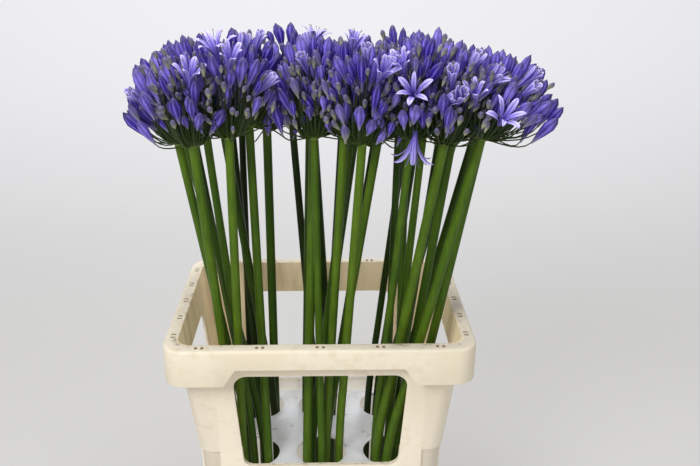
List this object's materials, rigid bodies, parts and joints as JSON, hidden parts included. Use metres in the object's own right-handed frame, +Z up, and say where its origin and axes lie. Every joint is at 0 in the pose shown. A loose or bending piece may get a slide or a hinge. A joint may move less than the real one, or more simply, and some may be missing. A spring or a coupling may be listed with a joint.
{
  "type": "crate of cut agapanthus",
  "caption": "A tapered, windowed flower crate with a holed tray inside, filled with tall leafless stems that gather in the tray and end in a canopy of violet-blue umbels in bud",
  "frame": {"origin": "centre of the crate's underside, on the surface that it stands on", "axes": "+Z up along the stems, +X to the right along the crate's long side, +Y to the back"},
  "size_m": [0.5478, 0.3842, 0.7905],
  "materials": {
    "crate_plastic": "satin, lightly scuffed",
    "tray_steel": "satin, scuffed",
    "scape_green": "smooth fresh stem",
    "umbel_violet": "waxy petals"
  },
  "bodies": {
    "root": {"crate": "crate_plastic", "scape_01": "scape_green", "scape_02": "scape_green", "scape_03": "scape_green", "scape_04": "scape_green", "scape_05": "scape_green", "scape_06": "scape_green", "scape_07": "scape_green", "scape_08": "scape_green", "scape_09": "scape_green", "scape_10": "scape_green", "scape_11": "scape_green", "scape_12": "scape_green", "scape_13": "scape_green", "scape_14": "scape_green", "scape_15": "scape_green", "scape_16": "scape_green", "scape_17": "scape_green", "scape_18": "scape_green", "scape_19": "scape_green", "scape_20": "scape_green", "scape_21": "scape_green", "scape_22": "scape_green", "scape_23": "scape_green", "scape_24": "scape_green", "scape_25": "scape_green", "scape_26": "scape_green", "scape_27": "scape_green", "scape_28": "scape_green", "scape_29": "scape_green", "scape_30": "scape_green", "scape_31": "scape_green", "scape_32": "scape_green", "scape_33": "scape_green", "scape_34": "scape_green", "scape_35": "scape_green", "scape_36": "scape_green", "scape_37": "scape_green", "scape_38": "scape_green", "stem_tray": "tray_steel", "umbels_back_left": "umbel_violet", "umbels_back_middle": "umbel_violet", "umbels_back_right": "umbel_violet", "umbels_front_left": "umbel_violet", "umbels_front_middle": "umbel_violet", "umbels_front_right": "umbel_violet"}
  },
  "joints": []
}
